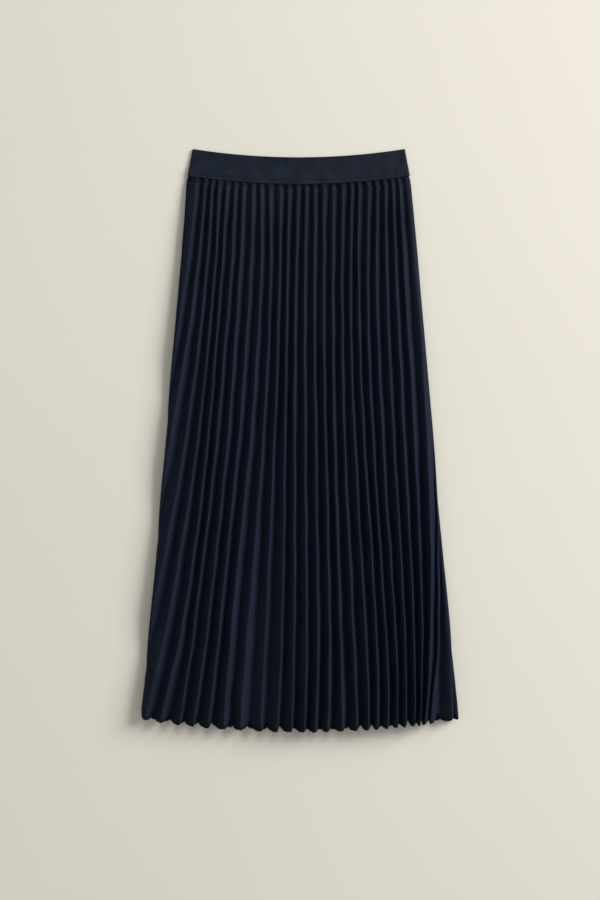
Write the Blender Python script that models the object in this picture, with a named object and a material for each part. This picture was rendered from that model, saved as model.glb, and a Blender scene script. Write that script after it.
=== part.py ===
"""Pleated midi skirt with an elastic waistband, laid flat with its front up.

Blender 4.5, metres, +Z up. The surface it lies on is z = 0, +Y runs from the hem to the waist and +X is the
viewer's right. The origin is under the middle of the skirt. Tables are in millimetres.

The two pleated panels make a tube that is pressed flat. Each section of the tube is an outline of two straight
runs, front and back, joined by a half round turn at each side. A fold's place is its distance along that outline
from the middle of the front, so that pleats can roll round the sides, as they do low on the left and right.
"""

import math
from collections import namedtuple

import bpy
import numpy as np

MM = 0.001

# Cloth and seams
WALL = 1.0
GAP = 0.3
LAYER = WALL + GAP / 2

# Waistband: flat elastic, sewn over the panels' top edges
BAND_HEIGHT = 40.0
BAND_WALL = 1.5
BAND_TOP_LEFT, BAND_TOP_RIGHT = -157.6, 153.2
BAND_LOW_LEFT, BAND_LOW_RIGHT = -165.0, 161.3
BAND_THICK_OVER_TAB = 2 * BAND_WALL + 2 * WALL + 3 * GAP
BAND_THICK_AT_TOP = 2 * BAND_WALL + GAP
BAND_RUN_STEPS = 14
BAND_TURN_STEPS = 6

# The band's heights over its lower edge, and its thickness there: it closes up above the panels' tabs
BAND_LEVELS = (
    (0.0, BAND_THICK_OVER_TAB),
    (9.0, BAND_THICK_OVER_TAB),
    (20.0, BAND_THICK_AT_TOP + 2 * GAP),
    (BAND_HEIGHT, BAND_THICK_AT_TOP),
)

# Plan: the band's lower edge and the hem both curve up towards the sides
BAND_EDGE_Y = 374.9
BAND_RISE = 9.8
HEM_RISE = 18.0
LENGTH = 799.5
HEM_SCALLOP = 6.0

# Folds
RIDGE_FLAT = 1.8
REST_FLAT = 4.0
VALLEY_FLAT = 1.3
STEEP_AT_BAND = 5.8
STEEP_LEAST, STEEP_MOST = 0.12, 0.5
LEAST_DEPTH = 0.45
SIDE_BULGE = 0.75
SIDE_RIPPLE = 0.1
SIDE_FADE = 12.0

# A row for each section, down the skirt from the tab under the band to the hem.
# along: below the band's lower edge; left, right: the sides; lift: off the surface;
# opening: how far the pleats stand open; face: cloth from fold to fold; back_depth: depth of the back's pleats
Section = namedtuple("Section", "along left right lift opening face back_depth")
SECTIONS = [
    Section(-8.0, -161.6, 157.9, 1.8, 0.0, 7.0, 0.0),
    Section(0.5, -163.2, 159.5, 1.8, 0.0, 7.3, 0.0),
    Section(5.0, -165.2, 161.4, 1.0, 0.5, 8.0, 1.5),
    Section(13.0, -166.7, 162.5, 0.0, 0.9, 8.8, 3.5),
    Section(60.0, -169.9, 166.8, 0.0, 1.0, 10.0, 4.5),
    Section(115.0, -173.9, 171.5, 0.0, 1.0, 10.7, 5.2),
    Section(175.0, -179.0, 175.7, 0.0, 1.0, 11.4, 5.7),
    Section(240.0, -184.5, 181.1, 0.0, 1.0, 12.1, 6.1),
    Section(327.0, -191.6, 188.7, 0.0, 1.0, 13.0, 6.5),
    Section(446.0, -201.1, 197.5, 0.0, 1.0, 14.2, 7.0),
    Section(564.0, -211.3, 207.7, 0.0, 1.0, 15.3, 7.5),
    Section(682.0, -221.6, 219.4, 0.0, 1.0, 16.4, 8.0),
    Section(780.0, -231.8, 229.6, 0.0, 1.0, 17.2, 8.0),
    Section(LENGTH, -232.4, 231.2, 0.0, 1.0, 17.4, 8.0),
]

# A row for each ridge that shows from above, left to right: its place across the skirt at four heights, and the
# width of the steep face on its right at the hip and the hem. A place past a side is rolled under that side.
FOLD_STATIONS = (13.0, 317.0, 549.0, 769.0)
Fold = namedtuple("Fold", "band hip knee hem steep_hip steep_hem")
FOLDS = [
    Fold(-155, -199, -240, -285, 8, 8),
    Fold(-142, -181, -222, -263, 9, 8),
    Fold(-131, -162, -200, -242, 5, 10),
    Fold(-120, -145, -177, -220, 3, 12),
    Fold(-107, -130, -156, -199, 4, 11),
    Fold(-95, -115, -140, -170, 5, 3),
    Fold(-83, -100, -122, -150, 6, 3),
    Fold(-69, -84, -106, -129, 6, 4),
    Fold(-57, -67, -89, -109, 7, 9),
    Fold(-44, -50, -67, -85, 5, 12),
    Fold(-29, -35, -45, -55, 5, 5),
    Fold(-16, -21, -24, -31, 4, 3),
    Fold(-3, -8, -8, -11, 5, 3),
    Fold(9, 7, 9, 8, 5, 3),
    Fold(22, 22, 25, 24, 4, 6),
    Fold(35, 36, 41, 41, 4, 7),
    Fold(49, 49, 55, 61, 5, 7),
    Fold(63, 63, 72, 82, 4, 5),
    Fold(76, 77, 89, 99, 3, 5),
    Fold(87, 90, 104, 113, 4, 5),
    Fold(101, 103, 117, 128, 4, 4),
    Fold(113, 117, 131, 142, 5, 3),
    Fold(124, 132, 144, 154, 4, 4),
    Fold(135, 146, 157, 167, 6, 3),
    Fold(145, 162, 172, 177, 6, 4),
    Fold(157, 181, 190, 186, 4, 4),
    Fold(177, 197, 201, 197, 4, 4),
    Fold(190, 212, 216, 221, 4, 4),
]
FRONT_PLEATS = 26
BACK_PLEATS = 26

# How far each side seam has turned away from the side, at the four heights: the left one under, the right one over
LEFT_SEAM_UNDER = (0.0, 17.0, 41.0, 67.0)
RIGHT_SEAM_OVER = (0.0, 0.0, 10.0, 38.0)

NAVY_CLOTH = (0.0135, 0.0190, 0.0365, 1.0)
NAVY_ELASTIC = (0.0150, 0.0212, 0.0350, 1.0)
CLOTH_ROUGHNESS = 0.62
ELASTIC_ROUGHNESS = 0.55


def smooth_step(start, end, value):
    share = np.clip((value - start) / (end - start), 0.0, 1.0)
    return share * share * (3 - 2 * share)


def along_fold(places, along):
    """A cubic through a fold's places at the four heights. Above the first of them it keeps that place."""
    cubic = np.polyfit(FOLD_STATIONS, places, len(FOLD_STATIONS) - 1)
    return np.polyval(cubic, max(along, FOLD_STATIONS[0]))


def at_stations(column):
    return np.interp(FOLD_STATIONS, [row.along for row in SECTIONS], [getattr(row, column) for row in SECTIONS])


def plan_y(along, across):
    """The distance up the skirt of a point at a share of the half width across from the middle."""
    share = np.clip(along / LENGTH, 0.0, 1.0)
    rise = BAND_RISE + (HEM_RISE - BAND_RISE) * share
    return BAND_EDGE_Y - along + rise * across * across


class Outline:
    """The flattened tube at one section, as two runs and two half round turns."""

    def __init__(self, left, right, radius, middle_z):
        self.centre = (left + right) / 2
        self.half = (right - left) / 2
        self.radius = radius
        self.middle_z = middle_z
        self.run = self.half - radius
        self.turn = math.pi * radius
        self.girth = 4 * self.run + 2 * self.turn
        self.side = self.run + self.turn / 2

    def wrapped(self, place):
        return (place + self.run + self.turn) % self.girth - self.run - self.turn

    def corner_and_angle(self, place):
        """The centre that the point turns about, and its angle from straight up: pi on the underside."""
        place = self.wrapped(place)
        if place < -self.run:
            return -self.run, (place + self.run) / self.radius
        if place <= self.run:
            return place, 0.0
        if place <= self.run + self.turn:
            return self.run, (place - self.run) / self.radius
        return 2 * self.run + self.turn - place, math.pi

    def under_share(self, place):
        """0 on the front's run, 1 on the back's, and between them in the turns."""
        return abs(self.corner_and_angle(place)[1]) / math.pi

    def side_share(self, place):
        """1 in the turns, fading to 0 along the runs."""
        corner, angle = self.corner_and_angle(place)
        if 0 < abs(angle) < math.pi:
            return 1.0
        return 1.0 - smooth_step(0.0, SIDE_FADE, self.run - abs(corner))

    def normal(self, place):
        angle = self.corner_and_angle(place)[1]
        return np.array([math.sin(angle), math.cos(angle)])

    def point(self, place, height):
        corner = self.corner_and_angle(place)[0]
        middle = np.array([self.centre + corner, self.middle_z])
        return middle + (self.radius + height) * self.normal(place)


class PleatedSection:
    """The folds of the skirt at one row of SECTIONS."""

    def __init__(self, row):
        self.row = row
        self.bulge = SIDE_BULGE * row.back_depth
        self.ripple = SIDE_RIPPLE * row.back_depth
        middle_z = LAYER + row.back_depth + row.lift
        self.outline = Outline(row.left + self.ripple, row.right - self.ripple, LAYER + self.bulge, middle_z)
        self.left_seam = -self.outline.side - along_fold(LEFT_SEAM_UNDER, row.along)
        self.right_seam = self.outline.side - along_fold(RIGHT_SEAM_OVER, row.along)
        self.ridges = self.shown_ridges() + self.hidden_ridges()

    def shown_ridges(self):
        """Places of the ridges in FOLDS, kept as shares of the half width so that they narrow into the band."""
        half = (at_stations("right") - at_stations("left")) / 2
        centre = (at_stations("right") + at_stations("left")) / 2
        here = (self.row.right - self.row.left) / 2
        return [along_fold((np.array(fold[:4]) - centre) / half, self.row.along) * here for fold in FOLDS]

    def hidden_ridges(self):
        """The back's other ridges, evenly spaced from the last that shows to the left seam."""
        last = self.shown_ridges()[-1]
        hidden = FRONT_PLEATS + BACK_PLEATS - len(FOLDS)
        pitch = (self.left_seam + self.outline.girth - last) / (hidden + 0.5)
        return [last + pitch * (index + 1) for index in range(hidden)]

    def steep_width(self, index):
        """The width of the face on a ridge's right: half the pitch where the pleat is hidden."""
        if index >= len(FOLDS):
            return (self.ridges[index] - self.ridges[index - 1]) / 2
        fold = FOLDS[index]
        heights = (FOLD_STATIONS[0], FOLD_STATIONS[1], FOLD_STATIONS[3])
        return np.interp(self.row.along, heights, (STEEP_AT_BAND, fold.steep_hip, fold.steep_hem))

    def ridge_height(self, index):
        """Depth of a pleat: what a face leaves when it spans half the pitch, or the back's own where it lies under."""
        place = self.ridges[index]
        before = self.ridges[index - 1] if index else self.left_seam
        after = self.ridges[index + 1] if index + 1 < len(self.ridges) else self.left_seam + self.outline.girth
        spacing = (after - before) / 4
        face = self.row.face
        depth = math.sqrt(max(face ** 2 - spacing ** 2, (LEAST_DEPTH * face) ** 2)) * self.row.opening
        under = self.outline.under_share(place)
        return depth + (self.row.back_depth - depth) * under

    def height(self, place, depth):
        """Height over the outline: a pleat's depth from the valleys, or a low ripple round a side."""
        side = self.outline.side_share(place)
        ripple = self.ripple if depth > 0 else -self.ripple
        return (1 - side) * (depth - self.bulge) + side * ripple

    def outer_points(self, first, last, start_place, end_place):
        """Rows of x, z and a valley share, from one seam over the ridges first to last to the other seam."""
        places = [(start_place, 0.0, 1.0)]
        for index in range(first, last):
            ridge = self.ridges[index]
            depth = self.ridge_height(index)
            flat = RIDGE_FLAT + (REST_FLAT - RIDGE_FLAT) * self.outline.under_share(ridge)
            places += [(ridge - flat / 2, depth, 0.0), (ridge + flat / 2, depth, 0.0)]
            if index + 1 < last:
                valley = ridge + flat / 2 + VALLEY_FLAT / 2 + self.steep_run(index, flat)
                places += [(valley - VALLEY_FLAT / 2, 0.0, 1.0), (valley + VALLEY_FLAT / 2, 0.0, 1.0)]
        places.append((end_place, 0.0, 1.0))
        points = [self.outline.point(place, self.height(place, depth)) for place, depth, _ in places]
        return np.array(points), np.array([share for _, _, share in places])

    def steep_run(self, index, flat):
        """The steep face's width between the two flats, kept to its shares of what both faces have."""
        free = self.ridges[index + 1] - self.ridges[index] - flat - VALLEY_FLAT
        wanted = self.steep_width(index) - (flat + VALLEY_FLAT) / 2
        return min(max(wanted, free * STEEP_LEAST), free * STEEP_MOST)


def inner_points(outer, first_normal, last_normal):
    """The outer points moved in by the wall, mitred at each fold."""
    runs = np.diff(outer, axis=0)
    runs /= np.linalg.norm(runs, axis=1)[:, None]
    normals = np.stack([-runs[:, 1], runs[:, 0]], axis=1)
    before = np.vstack([first_normal, normals])
    after = np.vstack([normals, last_normal])
    before[0], after[0] = first_normal, first_normal
    before[-1], after[-1] = last_normal, last_normal
    spread = 1 + np.sum(before * after, axis=1)
    return outer - WALL * (before + after) / spread[:, None]


def panel_rings(first, last, is_back):
    """The outer and inner points of a panel at each section."""
    rings = []
    for row in SECTIONS:
        section = PleatedSection(row)
        seams = (section.left_seam, section.right_seam)
        if is_back:
            seams = (section.right_seam, section.left_seam + section.outline.girth)
        outer, valley = section.outer_points(first, last, seams[0] + GAP / 2, seams[1] - GAP / 2)
        inner = inner_points(outer, section.outline.normal(seams[0]), section.outline.normal(seams[1]))
        rings.append([in_space(points, section.outline, row.along, valley) for points in (outer, inner)])
    return rings


def in_space(points, outline, along, valley):
    """Section points with their place along the skirt. The hem is shorter in its valleys."""
    across = (points[:, 0] - outline.centre) / outline.half
    y = plan_y(along, across)
    if along >= LENGTH:
        y = y + HEM_SCALLOP * valley
    return np.stack([points[:, 0], y, points[:, 1]], axis=1) * MM


def two_triangles(corners, turned=False):
    """A quad split between its first and third corners, whichever way it faces."""
    a, b, c, d = corners
    return [(a, c, b), (a, d, c)] if turned else [(a, b, c), (a, c, d)]


def wall_mesh(name, rings):
    """A closed wall through sections that each have an outer and an inner row of points."""
    stations, columns = len(rings), len(rings[0][0])
    points = np.array(rings).reshape(-1, 3)

    def at(station, side, column):
        return (station * 2 + side) * columns + column

    faces = []
    for k in range(stations - 1):
        for j in range(columns - 1):
            for side in (0, 1):
                quad = at(k + 1, side, j), at(k + 1, side, j + 1), at(k, side, j + 1), at(k, side, j)
                faces += two_triangles(quad, side == 1)
        for j in (0, columns - 1):
            quad = at(k, 0, j), at(k + 1, 0, j), at(k + 1, 1, j), at(k, 1, j)
            faces += two_triangles(quad, j == 0)
    for k in (0, stations - 1):
        for j in range(columns - 1):
            quad = at(k, 0, j), at(k, 0, j + 1), at(k, 1, j + 1), at(k, 1, j)
            faces += two_triangles(quad, k > 0)
    return mesh_from(name, points, faces)


def mesh_from(name, points, faces):
    mesh = bpy.data.meshes.new(name)
    mesh.from_pydata([tuple(point) for point in points], [], faces)
    mesh.validate()
    return mesh


def band_places(outline):
    """Places round the band: even steps along both runs and round both turns."""
    front = np.linspace(-outline.run, outline.run, BAND_RUN_STEPS, endpoint=False)
    right = outline.run + np.linspace(0, outline.turn, BAND_TURN_STEPS, endpoint=False)
    half = outline.girth / 2
    return np.concatenate([front, right, front + half, right + half])


def band_ring(height, thickness, wall):
    """One ring of the band, at a height over its lower edge and moved in by the wall."""
    share = height / BAND_HEIGHT
    left = BAND_LOW_LEFT + (BAND_TOP_LEFT - BAND_LOW_LEFT) * share
    right = BAND_LOW_RIGHT + (BAND_TOP_RIGHT - BAND_LOW_RIGHT) * share
    outline = Outline(left, right, thickness / 2, thickness / 2)
    points = np.array([outline.point(place, -wall) for place in band_places(outline)])
    across = (points[:, 0] - outline.centre) / outline.half
    y = plan_y(-height, across)
    return np.stack([points[:, 0], y, points[:, 1]], axis=1) * MM


def band_mesh(name):
    """The flattened loop of elastic: thicker where the panels' tabs are inside it."""
    rings = [band_ring(height, size, wall) for wall in (0.0, BAND_WALL) for height, size in BAND_LEVELS]
    count = len(rings[0])
    levels = len(BAND_LEVELS)
    order = list(range(levels)) + list(range(2 * levels - 1, levels - 1, -1))
    faces = []
    for here, there in zip(order, order[1:] + order[:1]):
        for j in range(count):
            k = (j + 1) % count
            quad = here * count + j, here * count + k, there * count + k, there * count + j
            faces += two_triangles(quad)
    return mesh_from(name, np.concatenate(rings), faces)


def cloth_material(name, colour, roughness):
    material = bpy.data.materials.new(name)
    material.use_nodes = True
    shader = material.node_tree.nodes["Principled BSDF"]
    shader.inputs["Base Color"].default_value = colour
    shader.inputs["Roughness"].default_value = roughness
    shader.inputs["Metallic"].default_value = 0.0
    material.diffuse_color = colour
    return material


def add_piece(collection, name, mesh, material):
    piece = bpy.data.objects.new(name, mesh)
    mesh.materials.append(material)
    collection.objects.link(piece)
    return piece


def clear_scene():
    for old in list(bpy.data.objects):
        bpy.data.objects.remove(old, do_unlink=True)


def main():
    clear_scene()
    skirt = bpy.data.collections.new("pleated_midi_skirt")
    bpy.context.scene.collection.children.link(skirt)
    front = wall_mesh("skirt_front", panel_rings(0, FRONT_PLEATS, False))
    back = wall_mesh("skirt_back", panel_rings(FRONT_PLEATS, FRONT_PLEATS + BACK_PLEATS, True))
    add_piece(skirt, "skirt_front", front, cloth_material("front_cloth", NAVY_CLOTH, CLOTH_ROUGHNESS))
    add_piece(skirt, "skirt_back", back, cloth_material("back_cloth", NAVY_CLOTH, CLOTH_ROUGHNESS))
    band_look = cloth_material("band_elastic", NAVY_ELASTIC, ELASTIC_ROUGHNESS)
    add_piece(skirt, "waistband", band_mesh("waistband"), band_look)


main()
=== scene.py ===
"""Pleated midi skirt, laid flat on a pale floor and seen from straight above.

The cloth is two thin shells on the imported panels' form, with finer folds, a turned hem and sewing. Sizes and
places on the skirt are in millimetres, and everything else is in metres. +Y runs from the hem to the waist,
+X is the viewer's right, and the floor is z = 0.
"""

import math
from collections import namedtuple

import bpy
import numpy as np
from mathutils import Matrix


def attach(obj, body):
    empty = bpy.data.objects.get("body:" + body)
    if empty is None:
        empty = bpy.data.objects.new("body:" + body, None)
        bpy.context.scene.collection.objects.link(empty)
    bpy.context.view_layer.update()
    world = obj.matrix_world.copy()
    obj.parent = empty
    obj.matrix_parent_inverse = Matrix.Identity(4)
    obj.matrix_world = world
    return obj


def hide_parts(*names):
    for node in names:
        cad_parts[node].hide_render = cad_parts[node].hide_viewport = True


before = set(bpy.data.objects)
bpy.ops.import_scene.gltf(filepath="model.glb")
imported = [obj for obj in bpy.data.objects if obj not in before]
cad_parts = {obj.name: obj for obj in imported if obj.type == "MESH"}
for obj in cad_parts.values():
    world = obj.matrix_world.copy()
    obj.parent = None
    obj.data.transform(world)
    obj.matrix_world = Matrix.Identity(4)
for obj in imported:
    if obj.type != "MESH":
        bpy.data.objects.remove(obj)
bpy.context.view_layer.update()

MM = 0.001

# Stage: the floor's half width, and a camera straight above, at the photograph's distance
FLOOR_HALF = 12.0
CAMERA_AT = (0.00036, -0.0143, 1.75)
CAMERA_LENS = 47.67
CAMERA_SENSOR = 36.0

# Light: a large soft key from the upper right, and a weak warm fill from all around
KEY_AT = (4.76, 2.64, 2.54)
KEY_SIZE = 2.7
KEY_POWER = 493.0
KEY_COLOUR = (1.0, 0.985, 0.955)
FILL_COLOUR = (1.0, 0.985, 0.95)
FILL_STRENGTH = 0.41

# Walls and the gap at seams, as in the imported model, and the real cloth's thickness
WALL = 1.0
GAP = 0.3
LAYER = WALL + GAP / 2
CLOTH = 0.35

# Waistband: its sides, its thickness at heights over its lower edge, and the painted shade down each side
BAND_HEIGHT = 40.0
BAND_WALL = 1.5
BAND_TOP_LEFT, BAND_TOP_RIGHT = -157.2, 154.2
BAND_LOW_LEFT, BAND_LOW_RIGHT = -164.6, 161.6
BAND_HEIGHTS = (0.0, 9.0, 20.0, 40.0)
BAND_THICKNESSES = (5.9, 5.9, 3.9, 3.3)
BAND_SIDE_SHADE = 2.0

# The elastic's edges: how far its sides stop short of them, and (from the edge, inset) points at each corner
BAND_ROUNDING = 0.45
BAND_CORNER = ((0.12, 0.18), (0.0, 0.5))
BAND_INNER_CORNER = 0.4

# The elastic's groove, where its stitches pull it in, and its slight unevenness
BAND_GROOVE_AT, BAND_GROOVE_WIDTH, BAND_GROOVE_DEPTH = 4.0, 0.9, 0.22
BAND_PULL, BAND_PULL_UNEVEN = 0.6, 0.4
BAND_SOFTNESS = 0.16
# A row for each wave in it: its length across and up the band, over 2 pi, and where it starts
Wave = namedtuple("Wave", "across up start")
BAND_WAVES = [
    Wave(5.3, 9.0, 0.0),
    Wave(2.9, -13.0, 1.7),
    Wave(11.0, math.inf, 0.4),
]

# The band's mesh: steps along each run and round each side, and rows up its walls, close near the groove
BAND_STEPS = 150
BAND_TURN_STEPS = 8
BAND_FINE_TO = 7.0
BAND_FINE_ROWS, BAND_OUTER_ROWS, BAND_INNER_ROWS = 12, 18, 6
WELD_DISTANCE = 0.00001

# Plan: the band's lower edge and the hem both curve up towards the sides, and the cloth's length between them
BAND_EDGE_Y = 374.9
BAND_RISE = 12.2
HEM_RISE = 18.0
LENGTH = 799.5

# Folds: the flats on ridges, on ridges that the skirt rests on, and in valleys; the steep faces' width at the
# band, and the least and most that they take of a pitch; and the least depth, as a share of a face
RIDGE_FLAT = 1.2
REST_FLAT = 4.0
VALLEY_FLAT = 1.0
STEEP_AT_BAND = 5.8
STEEP_LEAST, STEEP_MOST = 0.12, 0.5
LEAST_DEPTH = 0.45

# The sides: how full they are, how the pleats fade there, and where a ridge that rolls under gets thinner
SIDE_BULGE = 0.75
SIDE_RIPPLE = 0.1
SIDE_REACH = 8.0
SIDE_DEPTH, SIDE_DEPTH_FROM, SIDE_DEPTH_TO = 0.62, 2.0, 26.0
ROLLED_FROM, ROLLED_TO = -2.0, 4.0

# How softly the cloth creases: the blur's width, its reach in widths, and the steps that it is worked out in
CREASE = 0.55
CREASE_REACH = 4
GRID = 0.25

# A row for each section, down the skirt from the tab under the band to the hem.
# along: below the band's lower edge; left, right: the sides; lift: off the surface;
# opening: how far the pleats stand open; face: cloth from fold to fold; back_depth: the back's pleats' depth
Section = namedtuple("Section", "along left right lift opening face back_depth")
SECTIONS = [
    Section(-8.0, -161.6, 157.9, 1.8, 0.0, 7.0, 0.0),
    Section(-0.5, -163.1, 159.4, 1.8, 0.12, 7.5, 0.0),
    Section(0.6, -163.3, 159.7, 1.8, 0.4, 7.8, 0.0),
    Section(2.0, -164.4, 160.8, 1.6, 0.43, 8.6, 0.3),
    Section(5.0, -165.4, 161.8, 1.0, 0.47, 9.4, 0.9),
    Section(13.0, -166.7, 163.2, 0.0, 0.54, 10.0, 2.5),
    Section(60.0, -169.9, 167.8, 0.0, 0.75, 10.8, 4.3),
    Section(115.0, -173.9, 173.0, 0.0, 0.87, 10.7, 5.2),
    Section(175.0, -179.0, 178.0, 0.0, 0.94, 11.4, 5.7),
    Section(240.0, -184.5, 183.8, 0.0, 1.0, 12.1, 6.1),
    Section(327.0, -191.6, 191.2, 0.0, 1.0, 13.0, 6.5),
    Section(446.0, -201.1, 200.2, 0.0, 1.0, 14.2, 7.0),
    Section(564.0, -211.3, 210.2, 0.0, 1.0, 15.3, 7.5),
    Section(682.0, -221.6, 221.6, 0.0, 1.0, 16.4, 8.0),
    Section(780.0, -231.8, 231.0, 0.0, 1.0, 17.2, 8.0),
    Section(LENGTH, -232.4, 232.2, 0.0, 1.0, 17.4, 8.0),
]

# A row for each ridge that shows from above, left to right: its place across the skirt at four heights, and
# the width of the steep face on its right at the hip and the hem. A place past a side is rolled under it.
FOLD_STATIONS = (13.0, 317.0, 549.0, 769.0)
FOLD_DEGREE = 3
STEEP_STATIONS = (13.0, 317.0, 769.0)
Fold = namedtuple("Fold", "band hip knee hem steep_hip steep_hem")
FOLDS = [
    Fold(-152, -194, -240, -285, 8, 8),
    Fold(-139, -177, -221, -263, 9, 8),
    Fold(-129, -157, -196, -248, 6, 10),
    Fold(-119, -141, -174, -219, 4, 12),
    Fold(-107, -128, -154, -196, 3, 11),
    Fold(-95, -115, -140, -170, 5, 3),
    Fold(-83, -100, -122, -150, 6, 3),
    Fold(-69, -84, -106, -129, 6, 4),
    Fold(-57, -67, -89, -109, 7, 9),
    Fold(-44, -50, -67, -85, 5, 12),
    Fold(-29, -35, -45, -55, 5, 5),
    Fold(-16, -21, -24, -31, 5, 3),
    Fold(-3, -8, -8, -11, 6, 3),
    Fold(9, 7, 9, 8, 6, 4),
    Fold(22, 22, 25, 24, 5.5, 6.5),
    Fold(35, 36, 41, 41, 5.5, 7.5),
    Fold(49, 49, 55, 61, 6.5, 7.5),
    Fold(63, 63, 72, 82, 5.5, 6),
    Fold(76, 77, 89, 99, 5, 6),
    Fold(87, 90, 104, 113, 5.5, 6),
    Fold(101, 103, 117, 128, 5.5, 5),
    Fold(113, 117, 131, 142, 6.5, 4),
    Fold(125, 133, 146, 154, 6, 4.5),
    Fold(136, 148, 160, 167, 7.5, 3.5),
    Fold(146, 163, 174, 176, 7.5, 4),
    Fold(158, 182, 190, 184, 5, 2.5),
    Fold(177, 197, 201, 197, 4, 4),
    Fold(190, 212, 216, 221, 4, 4),
]
FRONT_PLEATS = 26
BACK_PLEATS = 26
PLEATS = FRONT_PLEATS + BACK_PLEATS

# How far each side seam has turned from the side, at the four heights: the left one under, the right one over
LEFT_SEAM_UNDER = (0.0, 17.0, 41.0, 67.0)
RIGHT_SEAM_OVER = (0.0, 0.0, 10.0, 38.0)

# Each pleat has four segments: its ridge, its steep face, its valley and its broad face. Mesh steps on each:
SEGMENTS = 4
FRONT_STEPS = (2, 4, 1, 6)
BACK_STEPS = (2, 3, 1, 5)
# Mesh rows: from, to and how many, down the skirt
FRONT_ROWS = ((-8.0, 0.3, 3), (0.3, 26.0, 22), (26.0, 768.0, 82), (768.0, LENGTH, 21))
BACK_ROWS = ((-8.0, 0.3, 2), (0.3, 26.0, 12), (26.0, 768.0, 62), (768.0, LENGTH, 14))

# How uneven the folds are, and over which lengths: they keep their places at the band, and wander below it
WOBBLE, WOBBLE_FULL_AT = 0.7, 120.0
WOBBLE_LENGTHS = (310.0, 170.0, 95.0)
DEPTH_UNEVEN = 0.09
DEPTH_LENGTHS = (420.0, 210.0, 120.0)
STEEP_UNEVEN = 0.16
STEEP_LENGTHS = (260.0, 140.0, 70.0)
BOW, BOW_UNEVEN = 0.05, 0.05
BOW_LENGTHS = (380.0, 160.0, 80.0)
WAVE_WEIGHTS = (0.5, 1.0)
WAVE_GAIN = 1.4

# Gathers under the band: height, reach down and across, and their strength at shares of the half width
PUCKER = 2.4
PUCKER_REACH = 7.0
PUCKER_FROM, PUCKER_FULL_AT = 0.3, 1.5
PUCKER_PLACES = 130
PUCKER_LENGTHS = (19.0, 11.0, 7.0)
PUCKER_ACROSS = (-1.0, -0.78, -0.6, 1.0)
PUCKER_STRENGTHS = (1.3, 1.1, 0.6, 0.8)
JITTER = 0.5
JITTER_LENGTHS = (23.0, 14.0, 9.0)

# The first pleat round the right side flares out at the hem, and the seam keeps in the valley before it
FLARED = FRONT_PLEATS
FLARE_FROM, FLARE_TO = 690.0, 785.0
FLARE_SHIFT = 4.5
FLARE_WIDEN = 7.5
FLARE_DEPTH = 0.8
SEAM_BEFORE_RIDGE = 2.8
SEAM_FILL, SEAM_FILL_WIDTH = 0.45, 4.0

# The turned hem: how far it is turned up, how far in its inner layer lies, and the overlocked edge's height
HEM_TURN = 6.0
HEM_LAYER = 0.6
# The overlocked edge is darkened with painted shade of the turned, drooping edge, and flecked by its stitches
HEM_EDGE = 9.0
HEM_EDGE_FADE = 4.0

# The hem's scallops: how much shorter the skirt is in its valleys, and from where up the skirt that starts.
# HEM_LOWEST is how far left of its ridge each scallop is lowest, as a share of the face there.
HEM_SCALLOP = 9.0
HEM_SCALLOP_FROM = 24.0
HEM_LOWEST = 0.2
HEM_CURVE = 3.0
HEM_UNEVEN = 0.25
HEM_SIDE_REACH = 30.0

# The hem's droop off its ridges, its fine ruffle, and a notch in it at the left side
HEM_DROOP = 4.0
HEM_DROOP_REACH = 7.0
HEM_RUFFLE = 0.45
HEM_RUFFLE_LENGTHS = (3.2, 5.3)
NOTCH = 7.0
NOTCH_WIDTH = 3.0

# The strip of seam allowance that shows between the panels: half width, depth and thickness
SEAM_STRIP = 0.9
SEAM_DEPTH = 0.42
SEAM_CLOTH = 0.2

# Thread: radius, stitch and space between stitches, and how high each seam's thread lies
THREAD = 0.16
STITCH, STITCH_SPACE = 2.4, 0.7
LIFT_ON_TOP, LIFT_IN_GROOVE, LIFT_UNDER = 0.05, -0.02, -0.15
# A stitch's form: sides round it, and (share along it, share of its radius) for each ring
THREAD_SIDES = 5
SPINDLE = ((0.0, 0.35), (0.2, 1.0), (0.8, 1.0), (1.0, 0.35))

# Where stitches run: over the hem's edge, and each side of the band's join, from margin to margin
HEM_STITCHED = 4.5
JOIN_HALF_WIDTH = 2.0
JOIN_MARGIN = 1.0
JOIN_POINTS = 20

# Colours, as (tone, colour) stops
CLOTH_COLOURS = (
    (0.1, (0.0033, 0.0052, 0.0082)),
    (0.35, (0.0086, 0.0126, 0.0236)),
    (0.8, (0.0104, 0.0156, 0.0332)),
)
ELASTIC_COLOURS = (
    (0.0, (0.0022, 0.0036, 0.0070)),
    (0.4, (0.0058, 0.0094, 0.0182)),
    (0.8, (0.0108, 0.0170, 0.0312)),
)
THREAD_COLOURS = (
    (0.3, (0.0090, 0.0130, 0.0260)),
    (0.7, (0.0220, 0.0300, 0.0540)),
)
FLOOR_COLOURS = (
    (0.2, (0.765, 0.740, 0.672)),
    (0.8, (0.785, 0.760, 0.692)),
)

# Changes of tone, PLAIN being none. The cloth is darkened with painted shade just under the band and towards
# the hem: (metres down the cloth, tone). The elastic is darker along its upper edge, darker in its groove with
# painted shade, and paler below that: (share of its height, tone).
PLAIN = 0.5
CLOTH_PAINTED_SHADE = ((0.0, 0.08), (0.01, 0.1), (0.018, 0.24), (0.25, PLAIN), (0.55, PLAIN), (0.8, 0.44))
ELASTIC_TONES = ((0.0, 0.62), (0.08, 0.66), (0.1, 0.36), (0.125, PLAIN), (0.955, PLAIN), (0.985, 0.0))
# How strongly the elastic's tones apply, the painted shade in its groove among them
EDGE_AND_GROOVE_STRENGTH = 0.9
# How dark the painted shade is down the band's sides, where it turns under
SIDE_PAINTED_SHADE = 0.5
# The painted highlight on the ridges: how sharply it gathers on their tops, and how much paler it makes them
RIDGE_HIGHLIGHT_SHARPNESS, RIDGE_PAINTED_HIGHLIGHT = 5.0, 0.2

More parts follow.
